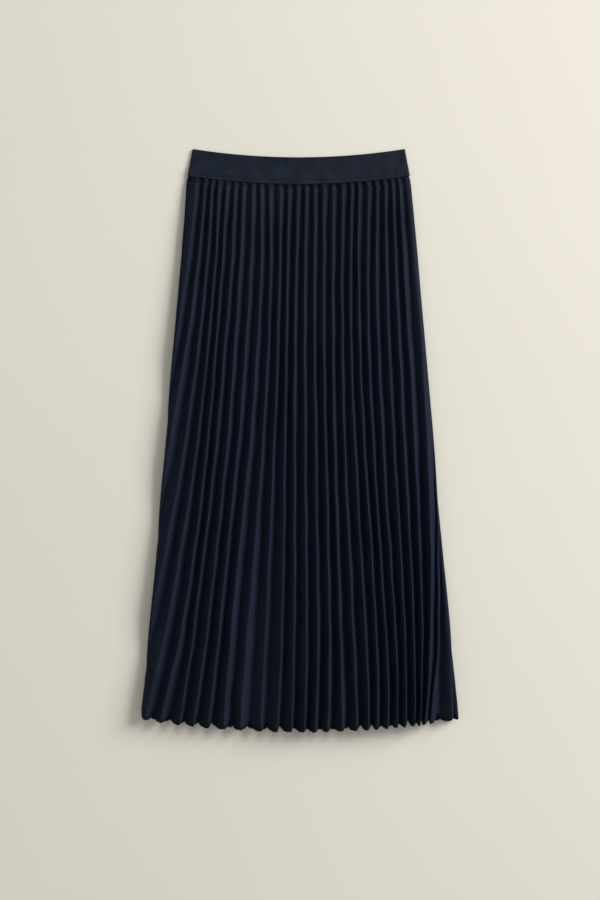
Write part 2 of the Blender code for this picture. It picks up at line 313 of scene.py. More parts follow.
# Noise in the materials: its scale and detail, and its effect, from base to base + spread
Noise = namedtuple("Noise", "scale detail base spread")
CLOTH_SHADE = Noise(9.0, 3.0, 0.25, 0.5)
CLOTH_ROUGHNESS = Noise(60.0, 3.0, 0.5, 0.2)
CLOTH_SLUBS = Noise(1400.0, 3.0, 0.0, 1.0)
# The hem's edge: mostly darker as painted shade, with light flecks of overlock stitching
OVERLOCK_AND_EDGE_SHADE = Noise(620.0, 1.0, -1.75, 2.6)
THREAD_TWIST = Noise(2600.0, 3.0, 0.0, 1.0)
ELASTIC_STREAKS = Noise(420.0, 2.0, 0.0, 0.5)
ELASTIC_CLOUDS = Noise(55.0, 3.0, -0.14, 0.9)
FLOOR_SHADE = Noise(2.5, 3.0, 0.0, 1.0)
FLOOR_GRAIN = Noise(900.0, 3.0, 0.0, 1.0)
STREAK_STRETCH = (1.0, 0.2, 1.0)
ELASTIC_ROUGH_BASE, ELASTIC_ROUGH_SPREAD = 0.36, 0.25

# Weaves: each thread's period in metres, and the surface's depth. BANDS_SCALE gives a period of one metre.
WARP, WEFT = 0.0006, 0.0007
ELASTIC_RIB, ELASTIC_THREAD = 0.0011, 0.0005
THREAD_SHARE = 0.5
THREAD_DISTORTION = 0.6
BANDS_SCALE = math.pi / 10
Relief = namedtuple("Relief", "depth strength")
CLOTH_RELIEF = Relief(0.00008, 0.6)
THREAD_RELIEF = Relief(0.00005, 0.6)
ELASTIC_RELIEF = Relief(0.00012, 0.5)
FLOOR_RELIEF = Relief(0.00003, 0.3)


def smooth_step(start, end, value):
    """0 up to the start and 1 from the end, with a smooth rise between them."""
    share = np.clip((value - start) / (end - start), 0.0, 1.0)
    return share * share * (3 - 2 * share)


def plan_y(along, across):
    """The distance up the skirt of a point at a share of the half width across from the middle."""
    share = np.clip(along / LENGTH, 0.0, 1.0)
    rise = BAND_RISE + (HEM_RISE - BAND_RISE) * share
    return BAND_EDGE_Y - along + rise * across * across


def column(name):
    """One column of SECTIONS."""
    return [getattr(row, name) for row in SECTIONS]


def section_at(along):
    """The section at any distance below the band."""
    values = [np.interp(along, column("along"), column(name)) for name in Section._fields[1:]]
    return Section(along, *values)


def fold_cubics():
    """A cubic for each shown fold, of its place as a share of the skirt's half width."""
    left = np.interp(FOLD_STATIONS, column("along"), column("left"))
    right = np.interp(FOLD_STATIONS, column("along"), column("right"))
    places = np.array([fold[:len(FOLD_STATIONS)] for fold in FOLDS])
    shares = (places - (left + right) / 2) / ((right - left) / 2)
    return np.polyfit(FOLD_STATIONS, shares.T, FOLD_DEGREE)


def cubic_at(places, along):
    """A cubic through places at the four heights. Above the first of them it keeps its value there."""
    return np.polyval(np.polyfit(FOLD_STATIONS, places, FOLD_DEGREE), max(along, FOLD_STATIONS[0]))


class Outline:
    """The flattened tube at one section, as two runs and two half round turns."""

    def __init__(self, left, right, radius, middle_z):
        self.centre = (left + right) / 2
        self.half = (right - left) / 2
        self.radius = radius
        self.middle_z = middle_z
        self.run = self.half - radius
        self.turn = math.pi * radius
        self.girth = 4 * self.run + 2 * self.turn
        self.side = self.run + self.turn / 2

    def corner_and_angle(self, places):
        """The centres that the points turn about, and their angles from straight up: pi on the underside."""
        wrapped = (places + self.run + self.turn) % self.girth - self.run - self.turn
        left_angle = np.minimum(wrapped + self.run, 0.0) / self.radius
        right_angle = np.clip(wrapped - self.run, 0.0, self.turn) / self.radius
        beyond = np.maximum(wrapped - self.run - self.turn, 0.0)
        return np.clip(wrapped, -self.run, self.run) - beyond, left_angle + right_angle

    def under_share(self, places):
        """0 on top, 1 on the underside, and between them round the sides."""
        return np.abs(self.corner_and_angle(places)[1]) / math.pi

    def from_side(self, places):
        """How far round the section each place is from the nearer side."""
        half_round = self.girth / 2
        from_left = np.abs((places + self.side + half_round) % self.girth - half_round)
        from_right = np.abs((places - self.side + half_round) % self.girth - half_round)
        return np.minimum(from_left, from_right)

    def side_share(self, places):
        """1 at the sides, fading to 0 above and below them."""
        return 1.0 - smooth_step(0.0, SIDE_REACH, self.from_side(places))

    def points(self, places, heights):
        """Rows of x and z, at heights over the outline."""
        corner, angle = self.corner_and_angle(places)
        reach = self.radius + heights
        x = self.centre + corner + reach * np.sin(angle)
        return x, self.middle_z + reach * np.cos(angle)


class Waves:
    """Slow seeded waves down the skirt, one for each fold, from about -1 to 1."""

    def __init__(self, seed, lengths, count=PLEATS):
        rng = np.random.default_rng(seed)
        self.lengths = np.array(lengths)[:, None]
        self.phases = rng.uniform(0, 2 * np.pi, (len(lengths), count))
        self.weights = rng.uniform(*WAVE_WEIGHTS, (len(lengths), count))

    def at(self, along):
        waves = np.sin(2 * np.pi * along / self.lengths + self.phases)
        return np.mean(self.weights * waves, axis=0) * WAVE_GAIN


CUBICS = fold_cubics()
WOBBLES = Waves(11, WOBBLE_LENGTHS)
DEPTHS = Waves(12, DEPTH_LENGTHS)
STEEPS = Waves(13, STEEP_LENGTHS)
BOWS = Waves(14, BOW_LENGTHS)
JITTERS = Waves(15, JITTER_LENGTHS)
PUCKERS = Waves(16, PUCKER_LENGTHS, PUCKER_PLACES)


class PleatedSection:
    """The skirt's fine folds at one distance below the band."""

    def __init__(self, along):
        self.row = section_at(along)
        self.along = along
        row = self.row
        self.bulge = SIDE_BULGE * row.back_depth
        self.ripple = SIDE_RIPPLE * row.back_depth
        middle_z = LAYER + row.back_depth + row.lift
        self.outline = Outline(row.left + self.ripple, row.right - self.ripple, LAYER + self.bulge, middle_z)
        self.left_seam = -self.outline.side - cubic_at(LEFT_SEAM_UNDER, along)
        self.ridges = self.uneven_ridges()
        over = self.outline.side - cubic_at(RIGHT_SEAM_OVER, along)
        self.right_seam = min(over, self.ridges[FRONT_PLEATS] - SEAM_BEFORE_RIDGE)
        self.under = self.outline.under_share(self.ridges)
        self.depths = self.ridge_depths()

    def uneven_ridges(self):
        """Places of all the ridges: those in FOLDS, then the hidden ones, evenly spaced to the left seam."""
        half = (self.row.right - self.row.left) / 2
        shown = np.polyval(CUBICS, max(self.along, FOLD_STATIONS[0])) * half
        hidden = np.arange(1, PLEATS - len(FOLDS) + 1)
        pitch = (self.left_seam + self.outline.girth - shown[-1]) / (len(hidden) + 0.5)
        ridges = np.concatenate([shown, shown[-1] + pitch * hidden])
        wobble = WOBBLE * smooth_step(0.0, WOBBLE_FULL_AT, self.along)
        jitter = JITTER * math.exp(-max(self.along, 0.0) / PUCKER_REACH)
        ridges = ridges + wobble * WOBBLES.at(self.along) + jitter * JITTERS.at(self.along)
        ridges[FLARED] -= FLARE_SHIFT * self.flare()
        return ridges

    def flare(self):
        """0 down to where the first pleat round the right side starts to flare, and 1 at the hem."""
        return smooth_step(FLARE_FROM, FLARE_TO, self.along)

    def ridge_depths(self):
        """Depth of each pleat: what its faces leave when they span half the pitch, or the back's own."""
        row = self.row
        ends = [self.left_seam, self.left_seam + self.outline.girth]
        around = np.concatenate([ends[:1], self.ridges, ends[1:]])
        half_pitch = (around[2:] - around[:-2]) / 4
        least = (LEAST_DEPTH * row.face) ** 2
        depths = np.sqrt(np.maximum(row.face ** 2 - half_pitch ** 2, least)) * row.opening
        depths *= 1 + DEPTH_UNEVEN * DEPTHS.at(self.along) * (1 - self.under)
        depths[FLARED] *= FLARE_DEPTH
        inside = smooth_step(SIDE_DEPTH_FROM, SIDE_DEPTH_TO, self.outline.from_side(self.ridges))
        depths *= SIDE_DEPTH + (1 - SIDE_DEPTH) * inside
        return depths + (row.back_depth - depths) * self.under

    def steep_widths(self):
        """The widths of the faces on the ridges' right: half the pitch where the pleat is hidden."""
        hidden = np.diff(self.ridges)[len(FOLDS) - 1:] / 2
        shown = [np.interp(self.along, STEEP_STATIONS, (STEEP_AT_BAND, fold.steep_hip, fold.steep_hem))
                 for fold in FOLDS]
        widths = np.concatenate([shown, hidden]) * (1 + STEEP_UNEVEN * STEEPS.at(self.along))
        widths[FLARED] += FLARE_WIDEN * self.flare()
        return widths * smooth_step(ROLLED_FROM, ROLLED_TO, self.ridges[:len(widths)] + self.outline.side)

    def corners(self, first, last, start, end):
        """Places where the section turns, from one seam over the ridges first to last to the other seam."""
        ridges = self.ridges[first:last]
        flats = (RIDGE_FLAT + (REST_FLAT - RIDGE_FLAT) * self.under)[first:last]
        free = np.diff(ridges) - (flats[:-1] + flats[1:]) / 2 - VALLEY_FLAT
        wanted = self.steep_widths()[first:last - 1] - (flats[:-1] + VALLEY_FLAT) / 2
        steep = np.clip(wanted, free * STEEP_LEAST, free * STEEP_MOST)
        valleys = np.append(ridges[:-1] + flats[:-1] / 2 + steep, end)
        turns = np.stack([ridges - flats / 2, ridges + flats / 2, valleys, valleys + VALLEY_FLAT], axis=1)
        return np.concatenate([[start], turns.ravel()[:-1]])

    def shares(self, places, corners, first):
        """0 in the valleys and 1 on the ridges, with the faces bowed and the folds softened."""
        low, high = places[0], places[-1]
        margin = (CREASE_REACH + 1) * CREASE
        grid = np.arange(low - margin, high + margin, GRID)
        step = np.interp(grid, corners, np.arange(len(corners)))
        segment = np.minimum(np.floor(step), len(corners) - 2).astype(int)
        part = step - segment
        pleat = np.minimum(first + segment // SEGMENTS, PLEATS - 1)
        bow = BOW + BOW_UNEVEN * BOWS.at(self.along)[pleat]
        kinds = [np.ones_like(part), 1 - part, np.zeros_like(part), part + bow * np.sin(np.pi * part)]
        sharp = np.choose((segment - 1) % SEGMENTS, kinds)
        reach = int(CREASE_REACH * CREASE / GRID)
        kernel = np.exp(-0.5 * (np.arange(-reach, reach + 1) * GRID / CREASE) ** 2)
        soft = np.convolve(np.pad(sharp, reach, "edge"), kernel / kernel.sum(), "valid")
        return np.interp(places, grid, soft)

    def pucker(self, places):
        """Small gathers just under the band, strongest at the left."""
        outline = self.outline
        height = PUCKER * math.exp(-self.along / PUCKER_REACH)
        height *= smooth_step(PUCKER_FROM, PUCKER_FULL_AT, self.along)
        strength = height * np.interp(places / outline.run, PUCKER_ACROSS, PUCKER_STRENGTHS)
        centres = np.linspace(-outline.run, outline.run, PUCKER_PLACES)
        gathers = np.interp(places, centres, PUCKERS.at(self.along))
        return strength * gathers * (1 - outline.under_share(places))

    def filled(self, share, places):
        """The valley at the right seam is partly filled by the seam's own thickness."""
        near = SEAM_FILL * np.exp(-((places - self.right_seam) / SEAM_FILL_WIDTH) ** 2)
        return share + (1 - share) * near

    def heights(self, share, places):
        """Heights over the outline, for shares from valley to ridge."""
        depth = share * np.interp(places, self.ridges, self.depths)
        side = self.outline.side_share(places)
        pleats = depth - self.bulge + self.pucker(places) - self.hem_droop(places) * share
        return (1 - side) * pleats + side * self.ripple * (2 * share - 1)

    def placed(self, places, heights, lobes):
        """Points in metres, never below the surface that the skirt lies on."""
        x, z = self.outline.points(places, heights)
        across = (x - self.outline.centre) / self.outline.half
        y = plan_y(self.along, across) + self.hem_scallop(lobes, places)
        return np.stack([x, y, np.maximum(z, 0.0)], axis=1) * MM

    def points(self, first, last, start, end, steps):
        """x, y and z of one mesh row, and its share from valley to ridge."""
        corners = self.corners(first, last, start, end)
        places = np.interp(mesh_steps(len(corners), steps), np.arange(len(corners)), corners)
        share = self.filled(self.shares(places, corners, first), places)
        lobes = self.hem_lobes(places, corners)
        return self.placed(places, self.heights(share, places), lobes), share

    def hem_lobes(self, places, corners):
        """0 at the lowest point of each pleat's hem, a little left of its ridge, and 1 in its valleys."""
        ridges = (corners[1::SEGMENTS] + corners[2::SEGMENTS]) / 2
        valleys = np.concatenate([corners[:1], corners[3::SEGMENTS]])
        lowest = ridges - HEM_LOWEST * (ridges - valleys[:-1])
        knots = np.sort(np.concatenate([valleys, lowest]))
        return np.interp(places, knots, (np.arange(len(knots)) + 1) % 2)

    def hem_scallop(self, lobes, places):
        """How much shorter the skirt is in its valleys and at its notch, with a fine ruffle at the edge."""
        uneven = 1 + HEM_UNEVEN * np.interp(places, self.ridges, STEEPS.at(LENGTH))
        uneven *= smooth_step(0.0, HEM_SIDE_REACH, self.outline.from_side(places))
        valley = HEM_SCALLOP * uneven * lobes ** HEM_CURVE
        ruffle = sum(np.sin(2 * np.pi * places / length) for length in HEM_RUFFLE_LENGTHS)
        notch = NOTCH * np.exp(-((places + self.outline.side) / NOTCH_WIDTH) ** 2)
        edge = smooth_step(LENGTH - HEM_SCALLOP_FROM, LENGTH, self.along)
        return (valley + notch) * edge + HEM_RUFFLE * ruffle * edge ** 2

    def hem_droop(self, places):
        """How far the hem's edge bends down off its ridges."""
        edge = smooth_step(LENGTH - HEM_DROOP_REACH, LENGTH, self.along) ** 2
        return HEM_DROOP * edge * (1 - self.outline.under_share(places))


def mesh_steps(count, steps):
    """Where the mesh columns are, counted in corners. The first segment is a broad face."""
    pieces = []
    for segment in range(count - 1):
        parts = steps[(segment - 1) % SEGMENTS]
        pieces.append(segment + np.arange(parts) / parts)
    return np.concatenate(pieces + [[count - 1]])


def mesh_rows(spans):
    """Where the mesh rows are, as distances below the band."""
    rows = [np.linspace(start, end, count, endpoint=False) for start, end, count in spans]
    return np.concatenate(rows + [[LENGTH]])


def panel_grid(first, last, is_back, steps, spans):
    """Points and valley-to-ridge shares of a panel's outer side, row by row down the skirt."""
    rows, shares = [], []
    for along in mesh_rows(spans):
        section = PleatedSection(along)
        start, end = section.left_seam, section.right_seam
        if is_back:
            start, end = section.right_seam, section.left_seam + section.outline.girth
        row, share = section.points(first, last, start + GAP / 2, end - GAP / 2, steps)
        rows.append(row)
        shares.append(share)
    return np.array(rows), np.array(shares)


def grid_normals(grid):
    """Outward unit normals of a grid whose rows run down the skirt and whose columns run to the right."""
    down, right = np.gradient(grid, axis=0), np.gradient(grid, axis=1)
    normals = np.cross(down, right)
    return normals / np.linalg.norm(normals, axis=2)[:, :, None]


def turned_hem(grid, shares):
    """The grid with its hem turned up inside."""
    normals = grid_normals(grid)
    down = grid[-1] - grid[-2]
    down /= np.linalg.norm(down, axis=1)[:, None]
    layer = HEM_LAYER * MM
    from_edge = np.linalg.norm(grid[:, 0] - grid[-1, 0], axis=1)
    inside = np.nonzero(from_edge <= HEM_TURN * MM)[0][::-1]
    fold = grid[-1] - normals[-1] * layer / 2 + down * layer / 2
    rows = [grid, fold[None], grid[inside] - normals[inside] * layer]
    return np.concatenate(rows), np.concatenate([shares, shares[-1:], shares[inside]])


def grid_lengths(grid):
    """For each point, the cloth's length across from the middle column, and down from the band."""
    across = np.linalg.norm(np.diff(grid, axis=1), axis=2)
    across = np.concatenate([np.zeros((len(grid), 1)), np.cumsum(across, axis=1)], axis=1)
    down = np.linalg.norm(np.diff(grid, axis=0), axis=2)
    down = np.concatenate([np.zeros((1, grid.shape[1])), np.cumsum(down, axis=0)])
    return across - across[:, across.shape[1] // 2, None], down


def grid_mesh(name, grid, closed=False):
    """A quad mesh of a grid, with a UV map in metres of cloth. closed joins the last column to the first."""
    rows, columns = grid.shape[:2]
    spans = columns if closed else columns - 1
    k, j = np.meshgrid(np.arange(rows - 1), np.arange(spans), indexing="ij")
    after = (j + 1) % columns
    upper, lower = k * columns, (k + 1) * columns
    quads = np.stack([lower + j, lower + after, upper + after, upper + j], axis=2)
    mesh = bpy.data.meshes.new(name)
    mesh.from_pydata(grid.reshape(-1, 3).tolist(), [], quads.reshape(-1, 4).tolist())
    mesh.polygons.foreach_set("use_smooth", np.ones(len(mesh.polygons), dtype=bool))
    across, down = grid_lengths(grid)
    loops = np.empty(len(mesh.loops), dtype=int)
    mesh.loops.foreach_get("vertex_index", loops)
    uv = np.stack([across.ravel()[loops], down.ravel()[loops]], axis=1)
    mesh.uv_layers.new(name="cloth").data.foreach_set("uv", uv.ravel())
    return mesh


def add_object(name, mesh, material):
    piece = bpy.data.objects.new(name, mesh)
    mesh.materials.append(material)
    bpy.context.scene.collection.objects.link(piece)
    return piece


def thicken(piece, thickness):
    """Gives a shell its cloth's thickness, inwards."""
    solidify = piece.modifiers.new("thickness", "SOLIDIFY")
    solidify.thickness = thickness * MM
    solidify.offset = -1.0


def add_values(mesh, name, values):
    """A number for each point of the mesh, for its material to read."""
    mesh.attributes.new(name, "FLOAT", "POINT").data.foreach_set("value", values.ravel())


def hem_shares(grid, outer_rows):
    """1 at the hem's edge, falling to 0 above its overlocked edge, where its painted shade lies."""
    above = np.linalg.norm(grid - grid[outer_rows - 1], axis=2) / MM
    return 1 - smooth_step(HEM_EDGE - HEM_EDGE_FADE, HEM_EDGE, above)


def add_panel(name, node, first, last, is_back, steps, spans, material):
    """A fine pleated shell in place of a packed panel. Returns its outer grid for the sewing."""
    outer, outer_shares = panel_grid(first, last, is_back, steps, spans)
    grid, shares = turned_hem(outer, outer_shares)
    mesh = grid_mesh(name, grid)
    add_values(mesh, "ridge", shares)
    add_values(mesh, "hem", hem_shares(grid, len(outer)))
    piece = add_object(name, mesh, material)
    thicken(piece, CLOTH)
    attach(piece, "root")
    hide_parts(node)
    return outer


def stitch_spans(length):
    """Where each stitch along a seam starts and ends."""
    starts = np.arange(STITCH_SPACE, length - STITCH, STITCH + STITCH_SPACE)
    return starts, starts + STITCH


def along_path(path, lengths, distances):
    """The points at those distances along a path, whose own points lie at the lengths."""
    return np.stack([np.interp(distances, lengths, path[:, axis]) for axis in range(3)], axis=1)


def add_stitches(name, path, normals, lift, material):
    """A row of thread stitches along a path in metres, each a slim closed spindle."""
    raised = path + normals * lift * MM
    steps = np.linalg.norm(np.diff(raised, axis=0), axis=1)
    lengths = np.concatenate([[0.0], np.cumsum(steps)]) / MM
    starts, ends = stitch_spans(lengths[-1])
    heads, tails = along_path(raised, lengths, starts), along_path(raised, lengths, ends)
    ups = along_path(normals, lengths, (starts + ends) / 2)
    points, faces = [], []
    for head, tail, up in zip(heads, tails, ups):
        faces += spindle_faces(len(points))
        points += spindle_points(head, tail, up)
    mesh = bpy.data.meshes.new(name)
    mesh.from_pydata(points, [], faces)
    mesh.polygons.foreach_set("use_smooth", np.ones(len(mesh.polygons), dtype=bool))
    piece = add_object(name, mesh, material)
    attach(piece, "root")


def spindle_points(head, tail, up):
    """Rings round a stitch from its head to its tail."""
    run = tail - head
    side = np.cross(run, up)
    side /= np.linalg.norm(side)
    lift = np.cross(side, run)
    lift /= np.linalg.norm(lift)
    turns = np.arange(THREAD_SIDES) * 2 * np.pi / THREAD_SIDES
    ring = np.outer(np.cos(turns), side) + np.outer(np.sin(turns), lift)
    rings = [head + run * place + ring * THREAD * MM * size for place, size in SPINDLE]
    return np.concatenate(rings).tolist()


def spindle_faces(first):
    """Quads between the rings of one stitch, and its two ends."""
    count = THREAD_SIDES
    last = first + (len(SPINDLE) - 1) * count
    faces = [tuple(first + np.arange(count)[::-1]), tuple(last + np.arange(count))]
    for ring in range(len(SPINDLE) - 1):
        for side in range(count):
            after = (side + 1) % count
            low, high = first + ring * count, first + (ring + 1) * count
            faces.append((low + side, low + after, high + after, high + side))
    return faces


def add_hem_stitches(name, outer, lift, material):
    """Stitches round the hem, on its overlocked edge."""
    above = np.linalg.norm(outer[:, 0] - outer[-1, 0], axis=1) / MM
    row = int(np.argmin(np.abs(above - HEM_STITCHED)))
    add_stitches(name, outer[row], grid_normals(outer)[row], lift, material)


def add_side_seam(name, side, material):
    """The seam's allowance, seen as a narrow strip in the gap between the panels."""
    rows = []
    for along in mesh_rows(BACK_ROWS):
        section = PleatedSection(along)
        seam = section.left_seam if side == "left" else section.right_seam
        places = seam + np.array([-SEAM_STRIP, 0.0, SEAM_STRIP])
        share = section.filled(np.zeros(len(places)), places)
        heights = section.heights(share, places) - SEAM_DEPTH
        rows.append(section.placed(places, heights, np.ones(len(places))))
    strip = add_object(name, grid_mesh(name, np.array(rows)), material)
    thicken(strip, SEAM_CLOTH)
    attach(strip, "root")


# Waistband
def band_profile():
    """(height, inset) pairs once round the elastic's thickness, from its lower edge up its outer side."""
    low, high = BAND_ROUNDING, BAND_HEIGHT - BAND_ROUNDING
    fine = np.linspace(low, BAND_FINE_TO, BAND_FINE_ROWS, endpoint=False)
    heights = np.concatenate([fine, np.linspace(BAND_FINE_TO, high, BAND_OUTER_ROWS)])
    outer = [(height, 0.0) for height in heights]
    near_inner = BAND_WALL - BAND_INNER_CORNER
    top = [(BAND_HEIGHT - drop, inset) for drop, inset in BAND_CORNER] + [(BAND_HEIGHT, near_inner)]
    inner = [(height, BAND_WALL) for height in np.linspace(high, low, BAND_INNER_ROWS)]
    return outer + top + inner + [(0.0, near_inner)] + list(BAND_CORNER[::-1])


def band_places(outline):
    """Places once round the band, from the left end of its front run."""
    front = np.linspace(-outline.run, outline.run, BAND_STEPS, endpoint=False)
    right = outline.run + np.linspace(0, outline.turn, BAND_TURN_STEPS, endpoint=False)
    return np.concatenate([front, right, front + outline.girth / 2, right + outline.girth / 2])


def band_softness(places, height):
    """The elastic's slight unevenness, and the groove that its stitches pull."""
    waves = [np.sin(places / wave.across + height / wave.up + wave.start) for wave in BAND_WAVES]
    groove = math.exp(-((height - BAND_GROOVE_AT) / BAND_GROOVE_WIDTH) ** 2)
    pull = BAND_PULL + BAND_PULL_UNEVEN * np.sin(places * 2 * math.pi / (STITCH + STITCH_SPACE))
    return BAND_SOFTNESS * np.mean(waves, axis=0) - BAND_GROOVE_DEPTH * groove * pull


def band_ring(height, inset):
    """Points in metres once round the band, at a height on it and an inset from its outer side."""
    share = height / BAND_HEIGHT
    left = BAND_LOW_LEFT + (BAND_TOP_LEFT - BAND_LOW_LEFT) * share
    right = BAND_LOW_RIGHT + (BAND_TOP_RIGHT - BAND_LOW_RIGHT) * share
    radius = np.interp(height, BAND_HEIGHTS, BAND_THICKNESSES) / 2
    outline = Outline(left, right, radius, radius)
    places = band_places(outline)
    heights = -inset * np.ones_like(places)
    if inset < BAND_WALL / 2:
        heights += band_softness(places, height) * (1 - outline.under_share(places))
    x, z = outline.points(places, heights)
    y = plan_y(-height, (x - outline.centre) / outline.half)
    return np.stack([x, y, z], axis=1) * MM


def add_band(material):
    """The loop of woven elastic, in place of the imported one."""
    profile = band_profile()
    profile = (profile + profile[:1])[::-1]
    grid = np.array([band_ring(height, inset) for height, inset in profile])
    mesh = grid_mesh("elastic_band", grid, closed=True)
    rises = np.array([height for height, _ in profile]) / BAND_HEIGHT
    add_values(mesh, "rise", np.repeat(rises[:, None], grid.shape[1], axis=1))
    x = grid[:, :, 0]
    from_side = np.minimum(x - x.min(axis=1)[:, None], x.max(axis=1)[:, None] - x) / MM
    # A mask for the painted shade down each side of the band, where it turns under
    add_values(mesh, "side", 1 - smooth_step(0.0, BAND_SIDE_SHADE, from_side))
    band = add_object("elastic_band", mesh, material)
    weld = band.modifiers.new("weld", "WELD")
    weld.merge_threshold = WELD_DISTANCE
    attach(band, "root")
    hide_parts("waistband")


def add_band_stitches(material):
    """The row of stitches that holds the band to the panels, in its groove."""
    ring = band_ring(BAND_GROOVE_AT, 0.0)
    path = np.concatenate([ring, ring[:1]])
    middle = path.mean(axis=0)
    runs = np.gradient(path, axis=0)
    outward = np.cross(np.array([0.0, 1.0, 0.0]), runs)
    outward /= np.linalg.norm(outward, axis=1)[:, None]
    outward *= np.sign(np.sum(outward * (path - middle), axis=1))[:, None]
    add_stitches("band_stitches", path, outward, LIFT_IN_GROOVE, material)


def add_band_join(material):
    """Two rows of stitches up the band at the centre back, where the loop is joined."""
    rises = np.linspace(JOIN_MARGIN, BAND_HEIGHT - JOIN_MARGIN, JOIN_POINTS)
    for name, x in (("band_join_left", -JOIN_HALF_WIDTH), ("band_join_right", JOIN_HALF_WIDTH)):
        path = np.stack([np.full(len(rises), x), BAND_EDGE_Y + rises, np.zeros(len(rises))], axis=1) * MM
        down = np.tile([0.0, 0.0, -1.0], (len(rises), 1))
        add_stitches(name, path, down, LIFT_UNDER, material)


# Materials
class Shading:
    """A new material's nodes, with a short call for each kind that is used here."""

    def __init__(self, name):
        self.material = bpy.data.materials.new(name)
        self.material.use_nodes = True
        self.nodes = self.material.node_tree.nodes
        self.links = self.material.node_tree.links

    def feed(self, socket, value):
        """Links a socket to another node's output, or sets it to a constant."""
        if isinstance(value, bpy.types.NodeSocket):
            self.links.new(value, socket)
        else:
            socket.default_value = value

    def node(self, kind, **inputs):
        node = self.nodes.new(kind)
        for name, value in inputs.items():
            self.feed(node.inputs[name], value)
        return node

    def surface(self, inputs):
        """Sets or links the shader's inputs."""
        for name, value in inputs.items():
            self.feed(self.nodes["Principled BSDF"].inputs[name], value)

    def cloth_place(self):
        """The place on the cloth in metres, from the mesh's UV map."""
        return self.nodes.new("ShaderNodeUVMap").outputs["UV"]

    def object_place(self):
        return self.nodes.new("ShaderNodeTexCoord").outputs["Object"]

    def attribute(self, name):
        """The numbers that add_values gave the mesh."""
        node = self.nodes.new("ShaderNodeAttribute")
        node.attribute_name = name
        return node.outputs["Fac"]

    def maths(self, operation, *values):
        node = self.nodes.new("ShaderNodeMath")
        node.operation = operation
        for socket, value in zip(node.inputs, values):
            self.feed(socket, value)
        return node.outputs["Value"]

    def noise(self, place, kind):
        """kind.base, plus kind.spread times a noise from 0 to 1."""
        node = self.node("ShaderNodeTexNoise", Vector=place, Scale=kind.scale, Detail=kind.detail)
        return self.maths("MULTIPLY_ADD", node.outputs["Fac"], kind.spread, kind.base)

    def threads(self, place, direction, period):
        """Fine threads as even bands with that period in metres."""
        scale = BANDS_SCALE / period
        node = self.node("ShaderNodeTexWave", Vector=place, Scale=scale, Distortion=THREAD_DISTORTION)
        node.bands_direction = direction
        return node.outputs["Fac"]

    def ramp(self, factor, stops):
        node = self.node("ShaderNodeValToRGB", Fac=factor)
        elements = node.color_ramp.elements
        while len(elements) < len(stops):
            elements.new(0.5)
        for element, (place, colour) in zip(elements, stops):
            element.position = place
            element.color = (*colour, 1.0)
        return node.outputs["Color"]

    def tone_change(self, factor, tones):
        """What to add to the tone, from stops whose tone is PLAIN where nothing changes."""
        stops = [(place, (tone, tone, tone)) for place, tone in tones]
        return self.maths("SUBTRACT", self.ramp(factor, stops), PLAIN)

    def bump(self, height, relief):
        node = self.node("ShaderNodeBump", Height=height, Distance=relief.depth, Strength=relief.strength)
        return node.outputs["Normal"]


def pleated_cloth():
    """Navy crepe: fine uneven weave, random slow tone, painted shade, painted ridge highlights, flecked
    overlock.
    """
    crepe = Shading("navy_crepe")
    cloth = crepe.cloth_place()
    down = crepe.node("ShaderNodeSeparateXYZ", Vector=cloth).outputs["Y"]
    # Painted highlight: the cloth is paler towards each ridge's top
    ridge_highlight = crepe.maths("POWER", crepe.attribute("ridge"), RIDGE_HIGHLIGHT_SHARPNESS)
    tone = crepe.maths("MULTIPLY_ADD", ridge_highlight, RIDGE_PAINTED_HIGHLIGHT, crepe.noise(cloth, CLOTH_SHADE))
    # Painted shade: darker just under the band and towards the hem, by distance down the cloth
    tone = crepe.maths("ADD", tone, crepe.tone_change(down, CLOTH_PAINTED_SHADE))
    # Painted shade along the hem's edge, with light flecks of the overlock's stitches
    overlock_flecks_and_shade = crepe.maths("MULTIPLY", crepe.attribute("hem"), crepe.noise(cloth, OVERLOCK_AND_EDGE_SHADE))
    tone = crepe.maths("ADD", tone, overlock_flecks_and_shade)
    crossings = crepe.maths("MULTIPLY", crepe.threads(cloth, "X", WARP), crepe.threads(cloth, "Y", WEFT))
    weave = crepe.maths("ADD", crossings, crepe.noise(cloth, CLOTH_SLUBS))
    crepe.surface({
        "Base Color": crepe.ramp(tone, CLOTH_COLOURS),
        "Roughness": crepe.noise(cloth, CLOTH_ROUGHNESS),
        "Normal": crepe.bump(weave, CLOTH_RELIEF),
        "Sheen Weight": 0.015,
        "Sheen Roughness": 0.45,
        "Specular IOR Level": 0.045,
    })
    return crepe.material


def thread():
    """Navy sewing thread with a fine twist."""
    spun = Shading("navy_thread")
    twist = spun.noise(spun.object_place(), THREAD_TWIST)
    spun.surface({
        "Base Color": spun.ramp(twist, THREAD_COLOURS),
        "Normal": spun.bump(twist, THREAD_RELIEF),
        "Roughness": 0.5,
        "Specular IOR Level": 0.2,
    })
    return spun.material


